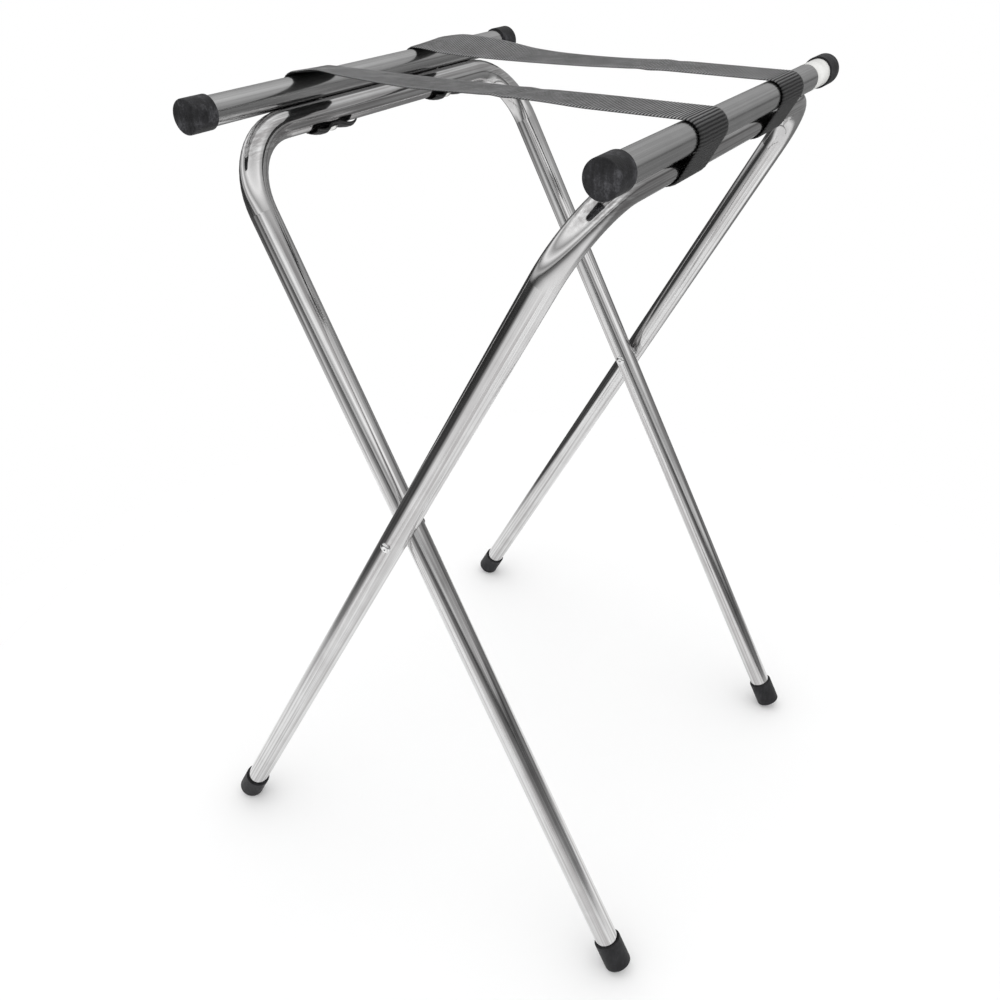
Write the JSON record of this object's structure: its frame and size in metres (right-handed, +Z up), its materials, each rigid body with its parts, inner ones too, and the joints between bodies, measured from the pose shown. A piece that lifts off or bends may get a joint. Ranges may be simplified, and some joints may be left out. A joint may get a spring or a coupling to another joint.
{
  "type": "folding luggage rack",
  "caption": "Folding rack of two crossed bent-tube leg frames with top bars and webbing straps, to hold a suitcase or a tray.",
  "frame": {"origin": "on the floor under the pivot, at the middle of the footprint", "axes": "+Z up, X from the left bar to the right bar, Y along the bars, near end at -Y"},
  "size_m": [0.4828, 0.5264, 0.7641],
  "materials": {
    "chromed_legs": "bright chrome plate",
    "chromed_bars": "bright chrome plate",
    "black_caps": "scuffed black plastic",
    "black_rubber": "matt black rubber",
    "rivet_steel": "plated steel",
    "screw_steel": "zinc-plated steel",
    "webbing": "ribbed black webbing",
    "blank_label": "blank paper label"
  },
  "bodies": {
    "outer_frame": {"outer_leg_frame": "chromed_legs", "top_bar_right": "chromed_bars", "bar_cap_right_near": "black_caps", "bar_cap_right_far": "black_caps", "foot_tip_outer_near": "black_rubber", "foot_tip_outer_far": "black_rubber", "pivot_rivet_near": "rivet_steel", "pivot_rivet_far": "rivet_steel", "pivot_spacer_near": "rivet_steel", "pivot_spacer_far": "rivet_steel", "strap_near": "webbing", "strap_far": "webbing", "strap_screw_right_near": "screw_steel", "strap_screw_right_far": "screw_steel", "bar_label": "blank_label"},
    "inner_frame": {"inner_leg_frame": "chromed_legs", "top_bar_left": "chromed_bars", "bar_cap_left_near": "black_caps", "bar_cap_left_far": "black_caps", "foot_tip_inner_near": "black_rubber", "foot_tip_inner_far": "black_rubber", "strap_screw_left_near": "screw_steel", "strap_screw_left_far": "screw_steel"}
  },
  "joints": [
    {"name": "fold", "type": "hinge", "parent": "outer_frame", "child": "inner_frame", "pos_m": [0, 0, 0.4355], "axis": [0, 1, 0], "range_deg": [0, 52], "deforming": ["strap_near", "strap_far"]}
  ]
}
